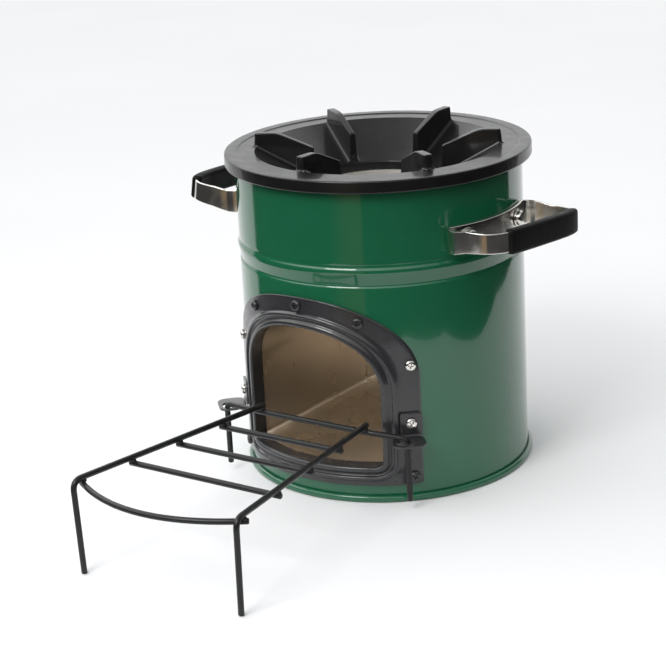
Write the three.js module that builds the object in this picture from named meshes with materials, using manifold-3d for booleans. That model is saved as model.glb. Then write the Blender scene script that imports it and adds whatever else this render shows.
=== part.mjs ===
// A portable wood-burning rocket stove, in millimetres, +Z up.
// The feed door faces -Y, and the origin is the middle of the underside of the base.
import * as THREE from 'three';
import { mergeVertices } from 'three/addons/utils/BufferGeometryUtils.js';
import Module from 'manifold-3d';

const wasm = await Module();
wasm.setup();

// ---- driving dimensions ----
const GAP = 0.3; // air left between neighbouring pieces
const SEGMENTS = 60; // facets round the drum

const DRUM_R = 120; // outside radius of the painted drum
const SHEET = 1.1; // drum sheet thickness
const DRUM_BOTTOM = 1.8;
const DRUM_TOP = 266;
const SWAGE = [[182.8, 0], [184.6, -1.1], [195, 1.1], [197.6, 1.2], [200.4, -0.3], [203.4, 0]];

const SEAM_R = 123.6; // rolled seam round the foot of the drum
const SEAM_TOP = 6;
const BASE_SHEET = 1.2;

const CASTING_R = 128.3; // cast top
const CASTING_BOTTOM = 262;
const PLATE_Z = 271.4;
const RIM_Z = 272.2;
const RIM_INNER_R = 117.5;
const DISH_R = 102.5;
const HOLE_R = 53;
const HOLE_Z = 244.5;

const SUPPORT_COUNT = 6; // pan supports cast on the top
const SUPPORT_TURN = -2; // degrees from the door direction to the first support
const SUPPORT_TOP = 283.3;
const SUPPORT_OUTER_R = 103;
const SUPPORT_FLAT_R = 84.5;
const SUPPORT_INNER_R = 54;
const SUPPORT_INNER_TOP = 270;

// Outlines of the door, seen along Y: half width, bottom, spring line, rise of the arch,
// exponent of the arch and radius of the two bottom corners.
const DOOR = { half: 65, bottom: 31.8, spring: 95, rise: 51.5, power: 2.2, corner: 5 };
const FRAME = { half: 89.4, bottom: 15, spring: 105, rise: 67.5, power: 2.25, corner: 2.5 };
const FRAME_BACK = 0.8; // height of the back of the frame above the drum
const FRAME_FACE = 2.4;
// Section of the pressed door frame as [distance out from the door, height above the drum].
const FRAME_SECTION = [
  [0, -8.6], [0, 1.8], [1.4, 4.1], [4.2, 4.1], [6.2, 2], [7.8, 2], [9.2, 4.4], [11.4, 4.4],
  [13, FRAME_FACE],
];
const COLLAR_WALL = 1.6;

const FIREBOX_SHEET = 1.2;
const FIREBOX_MARGIN = 1; // firebox inside width beyond the door, each side
const FIREBOX_BACK = 60;
const FIREBOX_FRONT_R = 110.6;
const CHIMNEY_R = 53.4; // inside radius
const CHIMNEY_TOP = 236.5;
const INSULATION_R = 109.5;
const INSULATION_SPLIT = 158;
const COVER_Z = 234.2;

const SCREW = { head: 4.5, rise: 2.6, shank: 2, length: 9 };
// Door frame screws as [degrees from the door direction, height].
const FRAME_SCREWS = {
  frame_screw_top: [0, 165.7],
  frame_screw_arch_left: [-25, 155],
  frame_screw_arch_right: [25, 155],
  frame_screw_upper_left: [-44, 118],
  frame_screw_upper_right: [44, 118],
  frame_screw_corner_left: [-44.3, 22],
  frame_screw_corner_right: [44.3, 22],
};
const BRACKET_ANGLE = 43.4;
const BRACKET_SCREW_Z = 69.3;
const BRACKET_SHEET = 1.8;
const BRACKET_FACE = 122.9; // distance of the bracket's back from the axis
const BRACKET_HALF = 9;
const BRACKET_TOP = 78;
const TAB_TOP = 58.7;
const TAB_REACH = 149;
const TAB_INNER_SIDE = -18;
const SLOT = { across: -8.6, out: 140.7, halfLength: 7, radius: 5.2 };

const WIRE = 2.4; // radius of the rack's wire
const RACK_YAW = 2; // the rack stands this many degrees askew in its slots
const RACK_PLACE = [1, -108.2];
const PIN_X = 90.5;
const PIN_BOTTOM = 8;
const ARM_Z = 61.6;
const HOOK_ROD_Z = 66;
const HOOK_ROD_Y = -12;
const RAIL_OFFSET = 6; // the rails are welded this far off the middle of the hook rod
const RAIL_FRONT = { half: 77, y: -219.2, z: 77 };
const RAIL_REAR = { half: 51, y: -8, z: 70.9 };
const LEG_BEND = 9;
const LEG_BOTTOM = 0.3;
const RACK_BARS = { rack_bar_front: 62, rack_bar_middle: 113, rack_bar_rear: 162 };
const BAR_OVERHANG = 3;
const FRONT_BAR = { setback: 12, bulge: 26, overhang: 4 };

// Each handle is turned to its place round the drum, in degrees from the door direction, and
// bolted on at height z. Its loop is a little bent: per millimetre beyond the drum it shifts
// sideways by skew and rises by rise, and it leans by lean per millimetre of width. The grip's
// ends are measured along the strap.
const HANDLES = {
  right: { turn: 84.6, z: 217.5, skew: 0.18, rise: 0, lean: -0.045, grip: [-42, 51] },
  left: { turn: -92.2, z: 220.7, skew: 0.165, rise: 0.185, lean: 0.028, grip: [-43, 51] },
};
const STRAP = 2.3; // thickness
const STRAP_HALF_HEIGHT = { plate: 12.7, fold: 9.6, tip: 8.2 };
const STRAP_PLATE_R = 121.7;
const STRAP_PLATE_ANGLE = 23.4;
// The fold and the arm as [distance from the axis, distance to the side], then a bow that is part
// of a superellipse.
const STRAP_ARM = [[113.2, 51.2], [117, 53.2], [122, 54.4], [127.5, 55.9]];
const STRAP_BOW = { from: 131, half: 57.5, tip: 161.4, power: 4.6 };
const BEND_FROM = 122;
const BEND_OVER = 12;
const GRIP = { thick: 8.4, high: 20.4 };
const BOLT_ANGLE = 15.3;
const BOLT = { head: 7.2, rise: 5.2, shank: 3, tip: 111.5 };
const NUT = { radius: 5.6, inner: 113.4, outer: 117.9 };

// ---- materials ----
const paint = (color, metalness, roughness) => new THREE.MeshStandardMaterial({
  color, metalness, roughness,
});
const GREEN_ENAMEL = paint(0x14523a, 0, 0.15);
const BLACK_CASTING = paint(0x2a2a2b, 0.2, 0.45);
const BLACK_ENAMEL = paint(0x2c2d2f, 0, 0.3);
const BLACK_WIRE = paint(0x202122, 0, 0.35);
const PLATED_STEEL = paint(0xc9c7c2, 1, 0.15);
const FIREBOX_STEEL = paint(0x9d8f7c, 1, 0.3);
const BLACK_GRIP = paint(0x232325, 0, 0.55);
const INSULATION = paint(0xcfc8b8, 0, 0.95);

const stove = new THREE.Group();

// ---- solids and booleans ----
function solid(geometry) {
  const bare = geometry.clone();
  bare.deleteAttribute('normal');
  bare.deleteAttribute('uv');
  const merged = mergeVertices(bare, 1e-4);
  const corners = [];
  const index = merged.index.array;
  for (let i = 0; i < index.length; i += 3) {
    const [a, b, c] = [index[i], index[i + 1], index[i + 2]];
    if (a !== b && b !== c && c !== a) corners.push(a, b, c);
  }
  return new wasm.Manifold(new wasm.Mesh({
    numProp: 3,
    vertProperties: new Float32Array(merged.attributes.position.array),
    triVerts: new Uint32Array(corners),
  }));
}

function geometryOf(manifold) {
  const mesh = manifold.getMesh();
  const geometry = new THREE.BufferGeometry();
  geometry.setAttribute('position', new THREE.BufferAttribute(mesh.vertProperties, 3));
  geometry.setIndex(new THREE.BufferAttribute(mesh.triVerts, 1));
  geometry.computeVertexNormals();
  return geometry;
}

function addNode(name, shape, material, parent = stove) {
  const geometry = shape.isBufferGeometry ? shape : geometryOf(shape);
  const mesh = new THREE.Mesh(geometry, material);
  mesh.name = name;
  parent.add(mesh);
  return mesh;
}

const radians = (degrees) => degrees * Math.PI / 180;

// A closed profile of [radius, height] points turned about Z. The points go anticlockwise
// with radius to the right and height up.
function turned(profile, segments = SEGMENTS) {
  const points = profile.map(([r, z]) => new THREE.Vector2(r, z));
  if (profile[0][0] > 0) points.push(points[0].clone());
  return new THREE.LatheGeometry(points, segments).rotateX(Math.PI / 2);
}

function cylinder(radius, from, to, segments = 24) {
  return turned([[0, from], [radius, from], [radius, to], [0, to]], segments);
}

// Lays a shape that was turned about Z along a radius of the drum, its top facing out.
function pointOutward(geometry, degrees, height) {
  geometry.rotateX(Math.PI / 2);
  geometry.rotateZ(radians(degrees));
  geometry.translate(0, 0, height);
  return geometry;
}

const boreThrough = (radius, degrees, height, from, to) => solid(
  pointOutward(cylinder(radius, from, to, 12), degrees, height));

function extrudedOutline(points, depth) {
  const shape = new THREE.Shape(points.map(([x, y]) => new THREE.Vector2(x, y)));
  return new THREE.ExtrudeGeometry(shape, { depth, bevelEnabled: false });
}

// ---- door outlines ----
// The outline grown outward by a distance, as points going round from the bottom middle.
function archOutline(arch, grow = 0) {
  const half = arch.half + grow;
  const bottom = arch.bottom - grow;
  const corner = Math.max(arch.corner + grow, 0.5);
  const rise = arch.rise + grow;
  const right = [];
  const flats = 6;
  for (let i = 0; i < flats; i += 1) right.push([(half - corner) * i / flats, bottom]);
  for (let i = 0; i < 4; i += 1) {
    const turn = radians(i * 90 / 3);
    right.push([half - corner + corner * Math.sin(turn), bottom + corner - corner * Math.cos(turn)]);
  }
  for (let i = 1; i < 4; i += 1) {
    right.push([half, bottom + corner + (arch.spring - bottom - corner) * i / 4]);
  }
  const steps = 9;
  for (let i = 0; i <= steps; i += 1) {
    const turn = radians(90 * i / steps);
    right.push([half * Math.cos(turn) ** (2 / arch.power),
      arch.spring + rise * Math.sin(turn) ** (2 / arch.power)]);
  }
  const crown = right.pop();
  crown[0] = 0;
  const left = right.slice(1).reverse().map(([x, z]) => [-x, z]);
  return [...right, crown, ...left];
}

// The inside of an arch as a solid that runs along Y.
function archPrism(arch, grow, from, to) {
  const geometry = extrudedOutline(archOutline(arch, grow), to - from);
  geometry.rotateX(Math.PI / 2);
  geometry.translate(0, to, 0);
  return solid(geometry);
}

// ---- drum and base ----
function bores() {
  const all = [];
  for (const [degrees, height] of Object.values(FRAME_SCREWS)) {
    all.push(boreThrough(SCREW.shank + GAP, degrees, height, DRUM_R - 6, DRUM_R + 8));
  }
  for (const side of [-1, 1]) {
    all.push(boreThrough(SCREW.shank + GAP, side * BRACKET_ANGLE, BRACKET_SCREW_Z,
      DRUM_R - 6, DRUM_R + 8));
  }
  return all;
}

function outerCasing() {
  const outer = SWAGE.map(([z, out]) => [DRUM_R + out, z]);
  const inner = SWAGE.map(([z, out]) => [DRUM_R - SHEET + out, z]).reverse();
  const profile = [
    [DRUM_R - SHEET, DRUM_BOTTOM], [DRUM_R, DRUM_BOTTOM], ...outer,
    [DRUM_R, DRUM_TOP], [DRUM_R - SHEET, DRUM_TOP], ...inner,
  ];
  let casing = solid(turned(profile));
  casing = casing.subtract(archPrism(DOOR, 3.6, -DRUM_R - 10, -DRUM_R / 2));
  for (const bore of bores()) casing = casing.subtract(bore);
  for (const { turn, z } of Object.values(HANDLES)) {
    for (const side of [-1, 1]) {
      casing = casing.subtract(boreThrough(BOLT.shank + GAP, turn + side * BOLT_ANGLE,
        z, DRUM_R - 6, DRUM_R + 6));
    }
  }
  addNode('outer_casing', casing, GREEN_ENAMEL);
}

function basePan() {
  const inside = DRUM_R - SHEET - GAP;
  addNode('base_pan', solid(turned([
    [0, 0], [SEAM_R - 1.5, 0], [SEAM_R, 1.5], [SEAM_R, SEAM_TOP - 1.5],
    [SEAM_R - 1.5, SEAM_TOP], [DRUM_R + GAP, SEAM_TOP],
    [DRUM_R + GAP, DRUM_BOTTOM - GAP], [inside, DRUM_BOTTOM - GAP], [inside, BASE_SHEET],
    [0, BASE_SHEET],
  ])), GREEN_ENAMEL);
}

// ---- inside ----
const FIREBOX = { ...DOOR, corner: 4 };

function fireboxSolid(grow, from, to) {
  return archPrism(FIREBOX, FIREBOX_MARGIN + grow, from, to);
}

function fireboxLiner() {
  const front = -DRUM_R;
  const shell = fireboxSolid(FIREBOX_SHEET, front, FIREBOX_BACK)
    .subtract(fireboxSolid(0, front - 5, FIREBOX_BACK + 5))
    .intersect(solid(cylinder(FIREBOX_FRONT_R, 0, 200, SEGMENTS)))
    .subtract(solid(cylinder(CHIMNEY_R, DOOR.spring, 200, SEGMENTS / 2)));
  addNode('firebox_liner', shell, FIREBOX_STEEL);
  const back = fireboxSolid(FIREBOX_SHEET, FIREBOX_BACK + GAP, FIREBOX_BACK + GAP + FIREBOX_SHEET)
    .subtract(solid(cylinder(CHIMNEY_R + FIREBOX_SHEET + GAP, DOOR.spring, 200, SEGMENTS / 2)));
  addNode('firebox_back', back, FIREBOX_STEEL);
}

function chimneyLiner() {
  const outer = CHIMNEY_R + FIREBOX_SHEET;
  const tube = solid(turned([
    [CHIMNEY_R, DOOR.spring], [outer, DOOR.spring], [outer, CHIMNEY_TOP], [CHIMNEY_R, CHIMNEY_TOP],
  ], SEGMENTS / 2));
  const firebox = fireboxSolid(FIREBOX_SHEET + GAP, -DRUM_R, FIREBOX_BACK + 20);
  addNode('chimney_liner', tube.subtract(firebox), FIREBOX_STEEL);
}

function insulation() {
  const lower = solid(cylinder(INSULATION_R, SEAM_TOP, INSULATION_SPLIT, SEGMENTS / 2));
  const bore = solid(cylinder(CHIMNEY_R + FIREBOX_SHEET + GAP, 100, 260, SEGMENTS / 2));
  const firebox = fireboxSolid(FIREBOX_SHEET + GAP, -DRUM_R - 5,
    FIREBOX_BACK + FIREBOX_SHEET + 2 * GAP);
  addNode('insulation_lower', lower.subtract(firebox).subtract(bore), INSULATION);
  const upper = solid(cylinder(INSULATION_R, INSULATION_SPLIT + GAP, COVER_Z - GAP, SEGMENTS / 2));
  addNode('insulation_upper', upper.subtract(bore), INSULATION);
}

function innerCover() {
  const outer = DRUM_R - SHEET - 0.5;
  const inner = CHIMNEY_R + FIREBOX_SHEET + 0.6;
  addNode('inner_cover', solid(turned([
    [inner, COVER_Z], [outer, COVER_Z], [outer, COVER_Z + 9], [outer - BASE_SHEET, COVER_Z + 9],
    [outer - BASE_SHEET, COVER_Z + BASE_SHEET], [inner, COVER_Z + BASE_SHEET],
  ], SEGMENTS / 2)), FIREBOX_STEEL);
}

// ---- cast top ----
const dishHeight = (r) => HOLE_Z + (PLATE_Z - HOLE_Z) * (r - HOLE_R) / (DISH_R - HOLE_R);

function castingRing() {
  const skirtInner = CASTING_R - 4.3;
  const underside = DRUM_TOP + GAP;
  return solid(turned([
    [HOLE_R, HOLE_Z - 7.5], [HOLE_R + 4, HOLE_Z - 6], [DISH_R + 5, underside],
    [skirtInner, underside], [skirtInner, CASTING_BOTTOM], [CASTING_R, CASTING_BOTTOM],
    [CASTING_R, RIM_Z - 1.4], [CASTING_R - 1.2, RIM_Z], [RIM_INNER_R + 0.8, RIM_Z],
    [RIM_INNER_R, PLATE_Z], [DISH_R, PLATE_Z], [HOLE_R + 0.8, HOLE_Z], [HOLE_R, HOLE_Z - 0.6],
  ]));
}

// A pan support is a rib that thins towards the middle and towards its top.
function panSupport(degrees) {
  const sunk = 2.5;
  const geometry = extrudedOutline([
    [SUPPORT_INNER_R + 1, dishHeight(SUPPORT_INNER_R) - sunk],
    [DISH_R, PLATE_Z - sunk], [SUPPORT_OUTER_R + 0.6, PLATE_Z - sunk],
    [SUPPORT_OUTER_R, SUPPORT_TOP], [SUPPORT_FLAT_R, SUPPORT_TOP],
    [SUPPORT_INNER_R, SUPPORT_INNER_TOP],
  ], 2);
  geometry.translate(0, 0, -1);
  geometry.rotateX(Math.PI / 2);
  const at = geometry.attributes.position;
  for (let i = 0; i < at.count; i += 1) {
    const along = (at.getX(i) - SUPPORT_INNER_R) / (SUPPORT_OUTER_R - SUPPORT_INNER_R);
    const thick = 4.6 + 3 * along + (SUPPORT_TOP - at.getZ(i)) * 0.07;
    at.setY(i, Math.sign(at.getY(i)) * thick / 2);
  }
  geometry.rotateZ(radians(degrees - 90));
  return solid(geometry);
}

function castTop() {
  let casting = castingRing();
  for (let i = 0; i < SUPPORT_COUNT; i += 1) {
    casting = casting.add(panSupport(SUPPORT_TURN + i * 360 / SUPPORT_COUNT));
  }
  addNode('cast_top', casting, BLACK_CASTING);
}

// ---- door frame, brackets and screws ----
// The frame is a strip of points that follows the door outline and hugs the drum.
function frameRing() {
  const flangeStart = FRAME_SECTION[FRAME_SECTION.length - 1][0];
  const start = archOutline(DOOR, flangeStart);
  const edge = archOutline(FRAME);
  const across = (share) => edge.map(([x, z], i) => [
    x * share + start[i][0] * (1 - share), z * share + start[i][1] * (1 - share),
  ]);
  const loops = FRAME_SECTION.map(([grow, height]) => [archOutline(DOOR, grow), height]);
  for (const share of [1 / 3, 2 / 3, 1]) loops.push([across(share), FRAME_FACE]);
  for (const share of [1, 2 / 3, 1 / 3, 0]) loops.push([across(share), FRAME_BACK]);
  const back = [[8.6, FRAME_BACK], [3.4, FRAME_BACK], [COLLAR_WALL, -0.4], [COLLAR_WALL, -8.6]];
  for (const [grow, height] of back) loops.push([archOutline(DOOR, grow), height]);
  const count = edge.length;
  const positions = [];
  for (const [outline, height] of loops) {
    for (const [x, z] of outline) {
      positions.push(x, -Math.sqrt((DRUM_R + height) ** 2 - x * x), z);
    }
  }
  const triangles = [];
  for (let j = 0; j < loops.length; j += 1) {
    const next = (j + 1) % loops.length;
    for (let i = 0; i < count; i += 1) {
      const k = (i + 1) % count;
      const [a, b, c, d] = [j * count + i, j * count + k, next * count + k, next * count + i];
      triangles.push(a, c, b, a, d, c);
    }
  }
  const geometry = new THREE.BufferGeometry();
  geometry.setAttribute('position', new THREE.Float32BufferAttribute(positions, 3));
  geometry.setIndex(triangles);
  return solid(geometry);
}

function doorFrame() {
  let frame = frameRing();
  for (const bore of bores()) frame = frame.subtract(bore);
  addNode('door_frame', frame, BLACK_ENAMEL);
}

// A pan-head screw along a radius, its head seated at the given distance from the axis.
function screw(name, degrees, height, seat, material) {
  const { head, rise, shank, length } = SCREW;
  const tip = seat - length;
  const shape = turned([
    [0, tip], [shank, tip], [shank, seat], [head, seat], [head, seat + rise * 0.45],
    [head * 0.75, seat + rise * 0.85], [0, seat + rise],
  ], 12);
  addNode(name, solid(pointOutward(shape, degrees, height)), material);
}

function frameScrews() {
  for (const [name, [degrees, height]] of Object.entries(FRAME_SCREWS)) {
    const bright = name.includes('upper');
    screw(name, degrees, height, DRUM_R + FRAME_FACE + GAP, bright ? PLATED_STEEL : BLACK_ENAMEL);
  }
}

// Made for the right-hand side with X across the bracket and -Y out from the drum.
function rackBracket(side) {
  const { across, out, halfLength, radius } = SLOT;
  const face = -BRACKET_FACE;
  const flange = new THREE.BoxGeometry(2 * BRACKET_HALF, BRACKET_SHEET,
    BRACKET_TOP - TAB_TOP + BRACKET_SHEET);
  flange.translate(0, face - BRACKET_SHEET / 2, (BRACKET_TOP + TAB_TOP - BRACKET_SHEET) / 2);
  const tab = new THREE.Shape();
  tab.moveTo(BRACKET_HALF, face);
  tab.lineTo(-BRACKET_HALF, face);
  tab.lineTo(TAB_INNER_SIDE, face - 9);
  tab.lineTo(TAB_INNER_SIDE, 9 - TAB_REACH);
  tab.quadraticCurveTo(TAB_INNER_SIDE, -TAB_REACH, TAB_INNER_SIDE + 9, -TAB_REACH);
  tab.lineTo(0, -TAB_REACH);
  tab.quadraticCurveTo(BRACKET_HALF, -TAB_REACH, BRACKET_HALF, 10 - TAB_REACH);
  tab.closePath();
  const slot = new THREE.Path();
  const reach = halfLength - radius;
  slot.absarc(across + reach, -out, radius, -Math.PI / 2, Math.PI / 2);
  slot.absarc(across - reach, -out, radius, Math.PI / 2, 1.5 * Math.PI);
  tab.holes.push(slot);
  const plate = new THREE.ExtrudeGeometry(tab, {
    depth: BRACKET_SHEET, bevelEnabled: false, curveSegments: 6,
  });
  plate.translate(0, 0, TAB_TOP - BRACKET_SHEET);
  const hole = cylinder(SCREW.shank + GAP, BRACKET_FACE - 3, BRACKET_FACE + 5, 12);
  hole.rotateX(Math.PI / 2);
  hole.translate(0, 0, BRACKET_SCREW_Z);
  let bracket = solid(flange).add(solid(plate)).subtract(solid(hole));
  bracket = bracket.rotate([0, 0, BRACKET_ANGLE]);
  if (side < 0) bracket = bracket.mirror([1, 0, 0]);
  const word = side < 0 ? 'left' : 'right';
  addNode(`rack_bracket_${word}`, bracket, BLACK_ENAMEL);
  screw(`bracket_screw_${word}`, side * BRACKET_ANGLE, BRACKET_SCREW_Z,
    BRACKET_FACE + BRACKET_SHEET + GAP, PLATED_STEEL);
}

// ---- stick rack ----
const rack = new THREE.Group();
rack.position.set(RACK_PLACE[0], RACK_PLACE[1], 0);
rack.rotation.z = radians(RACK_YAW);
stove.add(rack);

// A curve of straight runs joined by bends of the given radius.
function bentPath(points, bend) {
  const path = new THREE.CurvePath();
  let from = points[0];
  for (let i = 1; i < points.length - 1; i += 1) {
    const corner = points[i];
    const before = points[i - 1].clone().sub(corner);
    const after = points[i + 1].clone().sub(corner);
    const reach = Math.min(bend, before.length() / 2, after.length() / 2);
    const entry = corner.clone().add(before.setLength(reach));
    const exit = corner.clone().add(after.setLength(reach));
    path.add(new THREE.LineCurve3(from, entry));
    path.add(new THREE.QuadraticBezierCurve3(entry, corner, exit));
    from = exit;
  }
  path.add(new THREE.LineCurve3(from, points[points.length - 1]));
  return path;
}

function roundSection(radius, sides = 8) {
  const shape = new THREE.Shape();
  for (let i = 0; i < sides; i += 1) {
    const turn = 2 * Math.PI * i / sides;
    const point = [radius * Math.cos(turn), radius * Math.sin(turn)];
    if (i === 0) shape.moveTo(...point);
    else shape.lineTo(...point);
  }
  shape.closePath();
  return shape;
}

function wire(path, steps) {
  return solid(new THREE.ExtrudeGeometry(roundSection(WIRE), { steps, extrudePath: path }));
}

const railX = (y, side) => {
  const along = (y - RAIL_FRONT.y) / (RAIL_REAR.y - RAIL_FRONT.y);
  return RAIL_OFFSET + side * (RAIL_FRONT.half + (RAIL_REAR.half - RAIL_FRONT.half) * along);
};
const railZ = (y) => {
  const along = (y - RAIL_FRONT.y) / (RAIL_REAR.y - RAIL_FRONT.y);
  return RAIL_FRONT.z + (RAIL_REAR.z - RAIL_FRONT.z) * along;
};

function rackSideWire(side) {
  const point = (x, y, z) => new THREE.Vector3(x, y, z);
  const front = railX(RAIL_FRONT.y, side);
  const path = bentPath([
    point(front - side * 2, RAIL_FRONT.y + 1, LEG_BOTTOM),
    point(front, RAIL_FRONT.y, RAIL_FRONT.z),
    point(railX(RAIL_REAR.y, side), RAIL_REAR.y, RAIL_REAR.z),
  ], LEG_BEND);
  addNode(`rack_side_wire_${side < 0 ? 'left' : 'right'}`, wire(path, 64), BLACK_WIRE, rack);
}

// The hook rod crosses under the rails, and its ends turn down as the two pins.
function rackHookRod() {
  const point = (x, y, z) => new THREE.Vector3(x, y, z);
  const half = RAIL_REAR.half + 3;
  const path = bentPath([
    point(-PIN_X, 0, PIN_BOTTOM), point(-PIN_X, 0, ARM_Z),
    point(RAIL_OFFSET - half, HOOK_ROD_Y, HOOK_ROD_Z),
    point(RAIL_OFFSET + half, HOOK_ROD_Y, HOOK_ROD_Z),
    point(PIN_X, 0, ARM_Z), point(PIN_X, 0, PIN_BOTTOM),
  ], 6);
  addNode('rack_hook_rod', wire(path, 46), BLACK_WIRE, rack);
}

const barDrop = 2 * WIRE + GAP;

function rackBars() {
  const point = (x, y, z) => new THREE.Vector3(x, y, z);
  const bar = (fromFront) => {
    const y = RAIL_FRONT.y + fromFront;
    const z = railZ(y) - barDrop;
    return new THREE.LineCurve3(point(railX(y, -1) - BAR_OVERHANG, y, z),
      point(railX(y, 1) + BAR_OVERHANG, y, z));
  };
  for (const [name, fromFront] of Object.entries(RACK_BARS)) {
    addNode(name, wire(bar(fromFront), 1), BLACK_WIRE, rack);
  }
  const y = RAIL_FRONT.y + FRONT_BAR.setback;
  const z = railZ(y) - barDrop;
  const curve = new THREE.QuadraticBezierCurve3(point(railX(y, -1) - FRONT_BAR.overhang, y, z),
    point(RAIL_OFFSET, y - 2 * FRONT_BAR.bulge, z), point(railX(y, 1) + FRONT_BAR.overhang, y, z));
  addNode('rack_front_bar', wire(curve, 20), BLACK_WIRE, rack);
}

// ---- carrying handles ----
// Handles are made pointing out along -Y, then turned about the axis of the drum.
// The bow from the arm to the tip, as [distance from the axis, distance to the side].
function strapBow(steps) {
  const { from, half, tip, power } = STRAP_BOW;
  const bow = [];
  for (let i = 1; i <= steps; i += 1) {
    const turn = radians(90 * i / steps);
    const share = (value) => Math.abs(value) ** (2 / power);
    const across = i === steps ? 0 : half * share(Math.cos(turn));
    bow.push([from + (tip - from) * share(Math.sin(turn)), across]);
  }
  return bow;
}

function strapHalf() {
  const plate = [];
  for (let i = 0; i <= 6; i += 1) {
    const turn = radians(STRAP_PLATE_ANGLE * i / 6);
    plate.push([STRAP_PLATE_R * Math.cos(turn), STRAP_PLATE_R * Math.sin(turn)]);
  }
  return [...plate, ...STRAP_ARM, ...strapBow(9)];
}

function strapLoop() {
  const half = strapHalf();
  const other = half.slice(1, -1).reverse().map(([out, across]) => [out, -across]);
  return [...half, ...other];
}

// Points of a closed loop moved to its side by a distance.
function offsetLoop(loop, distance) {
  const count = loop.length;
  return loop.map(([x, y], i) => {
    const [px, py] = loop[(i + count - 1) % count];
    const [nx, ny] = loop[(i + 1) % count];
    const before = new THREE.Vector2(x - px, y - py).normalize();
    const after = new THREE.Vector2(nx - x, ny - y).normalize();
    const mean = before.clone().add(after).normalize();
    const stretch = Math.max(mean.dot(before), 0.6);
    return [x - mean.y * distance / stretch, y + mean.x * distance / stretch];
  });
}

const outwardToWorld = ([out, across]) => [across, -out];

// A ribbon round the loop, tall at the drum and lower at the tip.
function strapSolid(thickness, extraHeight) {
  const loop = strapLoop().map(outwardToWorld).reverse();
  const one = offsetLoop(loop, thickness / 2);
  const two = offsetLoop(loop, -thickness / 2);
  const widest = (points) => Math.max(...points.map(([x]) => x));
  const [outer, inner] = widest(one) > widest(two) ? [one, two] : [two, one];
  const shape = new THREE.Shape(outer.map(([x, y]) => new THREE.Vector2(x, y)));
  shape.holes.push(new THREE.Path(inner.map(([x, y]) => new THREE.Vector2(x, y))));
  const geometry = new THREE.ExtrudeGeometry(shape, { depth: 2, bevelEnabled: false });
  geometry.translate(0, 0, -1);
  const at = geometry.attributes.position;
  const { plate, fold, tip } = STRAP_HALF_HEIGHT;
  for (let i = 0; i < at.count; i += 1) {
    const out = -at.getY(i);
    const folded = THREE.MathUtils.lerp(plate, fold, THREE.MathUtils.smoothstep(out, 110, 122));
    const high = Math.min(folded, THREE.MathUtils.mapLinear(out, 122, 150, fold, tip));
    at.setZ(i, at.getZ(i) * (Math.max(high, tip) + extraHeight));
  }
  return solid(geometry);
}

// Bends the part of a handle that stands off the drum, then turns the handle to its place.
function placeHandle(shape, { turn, z, skew, rise, lean }) {
  const bent = shape.warp((point) => {
    const beyond = Math.max(-point[1] - BEND_FROM, 0);
    const share = Math.min(beyond / BEND_OVER, 1);
    const height = point[2];
    point[2] += rise * beyond + lean * point[0] * share;
    point[1] += rise * height * share;
    point[0] += skew * beyond;
  });
  return bent.rotate([0, 0, turn]).translate([0, 0, z]);
}

function handleStrap(handle, word) {
  let strap = strapSolid(STRAP, 0);
  for (const side of [-1, 1]) {
    strap = strap.subtract(boreThrough(BOLT.shank + GAP, side * BOLT_ANGLE, 0,
      DRUM_R - 6, DRUM_R + 10));
  }
  addNode(`handle_strap_${word}`, placeHandle(strap, handle), PLATED_STEEL);
}

// The grip is a thick sleeve swept along the strap's outer run.
function handleGrip(handle, word) {
  const arm = [...STRAP_ARM, ...strapBow(9)];
  const other = arm.slice(0, -1).reverse();
  const run = [...arm.map(([out, across]) => [out, -across]), ...other];
  const curve = new THREE.CatmullRomCurve3(run.map(
    ([out, across]) => new THREE.Vector3(across, -out, 0)), false, 'centripetal');
  const samples = curve.getSpacedPoints(150);
  const middle = samples.findIndex((p) => p.x >= -1e-6);
  const step = curve.getLength() / 150;
  const [first, last] = handle.grip.map((along) => middle + Math.round(along / step));
  const kept = samples.slice(first, last + 1).filter((p, i) => i % 3 === 0);
  const section = new THREE.Shape();
  const [a, b, round] = [GRIP.high / 2, GRIP.thick / 2, 2.6];
  section.moveTo(-a + round, -b);
  section.lineTo(a - round, -b);
  section.absarc(a - round, -b + round, round, -Math.PI / 2, 0);
  section.absarc(a - round, b - round, round, 0, Math.PI / 2);
  section.absarc(-a + round, b - round, round, Math.PI / 2, Math.PI);
  section.absarc(-a + round, -b + round, round, Math.PI, 1.5 * Math.PI);
  const sleeve = solid(new THREE.ExtrudeGeometry(section, {
    steps: 18, curveSegments: 2, extrudePath: new THREE.CatmullRomCurve3(kept),
  }));
  const grip = sleeve.subtract(strapSolid(STRAP + 2 * GAP, GAP));
  addNode(`handle_grip_${word}`, placeHandle(grip, handle), BLACK_GRIP);
}

function handleBolts({ turn, z }, word) {
  const seat = STRAP_PLATE_R + STRAP / 2 + GAP + 0.1;
  const { head, rise, shank, tip } = BOLT;
  for (const [end, side] of [['front', -1], ['back', 1]]) {
    const degrees = turn + (turn > 0 ? side : -side) * BOLT_ANGLE;
    const bolt = turned([
      [0, tip], [shank, tip], [shank, seat], [head, seat], [head, seat + rise * 0.5],
      [head * 0.8, seat + rise * 0.85], [0, seat + rise],
    ], 16);
    addNode(`handle_bolt_${word}_${end}`, solid(pointOutward(bolt, degrees, z)), PLATED_STEEL);
    const blank = solid(pointOutward(
      cylinder(NUT.radius, NUT.inner, NUT.outer, 6), degrees, z));
    const bore = boreThrough(shank + GAP, degrees, z, NUT.inner - 1, NUT.outer + 1);
    const nut = blank.subtract(bore);
    addNode(`handle_nut_${word}_${end}`, nut, PLATED_STEEL);
  }
}

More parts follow.
